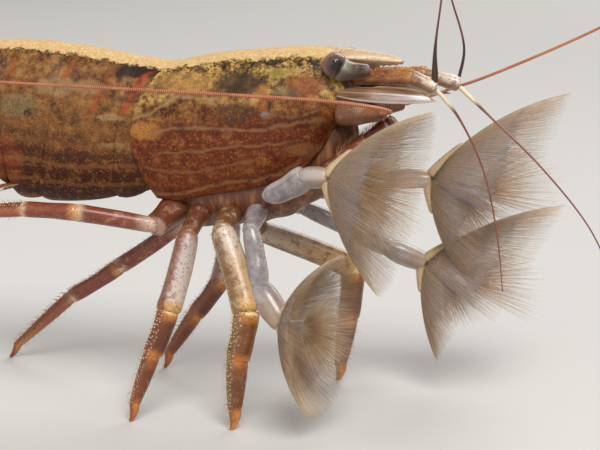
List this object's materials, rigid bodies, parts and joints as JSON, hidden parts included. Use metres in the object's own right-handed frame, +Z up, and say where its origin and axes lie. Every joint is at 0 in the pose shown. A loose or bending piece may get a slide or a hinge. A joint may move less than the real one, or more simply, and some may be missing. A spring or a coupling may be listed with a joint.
{
  "type": "bamboo shrimp model",
  "caption": "Life-size museum model of a bamboo shrimp standing with its feeding fans spread, long feelers out and tail fan behind.",
  "frame": {"origin": "middle of the model's box, on the floor under the feet", "axes": "+X towards the head, +Y to the animal's left, +Z up"},
  "size_m": [0.1392, 0.0414, 0.0762],
  "materials": {
    "body_shell": "satin chitin shell, mottled brown with a cream back stripe",
    "head_shell": "satin, half-clear chitin",
    "leg_shell": "satin chitin with pale warts and spines",
    "clear_flesh": "glossy half-clear chitin, white to grey",
    "bristle": "fine translucent bristles, grey-brown with golden glints",
    "feeler": "ringed orange-red chitin whip",
    "eye": "wet, dark cornea"
  },
  "bodies": {
    "root": {"carapace": "body_shell", "chest_underside": "body_shell", "abdomen_1": "body_shell", "abdomen_2": "body_shell", "abdomen_3": "body_shell", "abdomen_4": "body_shell", "abdomen_5": "body_shell", "abdomen_6": "body_shell", "telson": "body_shell", "tail_inner_right": "body_shell", "tail_outer_right": "body_shell", "tail_inner_left": "body_shell", "tail_outer_left": "body_shell", "swimmerets_1": "leg_shell", "swimmerets_2": "leg_shell", "swimmerets_3": "leg_shell", "swimmerets_4": "leg_shell", "swimmerets_5": "leg_shell", "leg3_right_upper": "leg_shell", "leg3_right_lower": "leg_shell", "leg4_right_upper": "leg_shell", "leg4_right_lower": "leg_shell", "leg5_right_upper": "leg_shell", "leg5_right_lower": "leg_shell", "leg3_left_upper": "leg_shell", "leg3_left_lower": "leg_shell", "leg4_left_upper": "leg_shell", "leg4_left_lower": "leg_shell", "leg5_left_upper": "leg_shell", "leg5_left_lower": "leg_shell", "arm1_right_fan_upper": "bristle", "arm1_right_fan_lower": "bristle", "arm1_right": "clear_flesh", "arm2_right_fan_upper": "bristle", "arm2_right_fan_lower": "bristle", "arm2_right": "clear_flesh", "arm1_left_fan_upper": "bristle", "arm1_left_fan_lower": "bristle", "arm1_left": "clear_flesh", "arm2_left_fan_upper": "bristle", "arm2_left_fan_lower": "bristle", "arm2_left": "clear_flesh", "mouth_foot_right": "leg_shell", "mouth_foot_left": "leg_shell", "eye_right": "eye", "eyestalk_right": "clear_flesh", "eye_left": "eye", "eyestalk_left": "clear_flesh", "short_feeler_base_right": "head_shell", "short_feeler_upper_right": "feeler", "short_feeler_lower_right": "feeler", "short_feeler_base_left": "head_shell", "short_feeler_upper_left": "feeler", "short_feeler_lower_left": "feeler", "long_feeler_base_right": "head_shell", "long_feeler_root_right": "feeler", "long_feeler_tip_right": "feeler", "long_feeler_base_left": "head_shell", "long_feeler_root_left": "feeler", "long_feeler_tip_left": "feeler"}
  },
  "joints": []
}
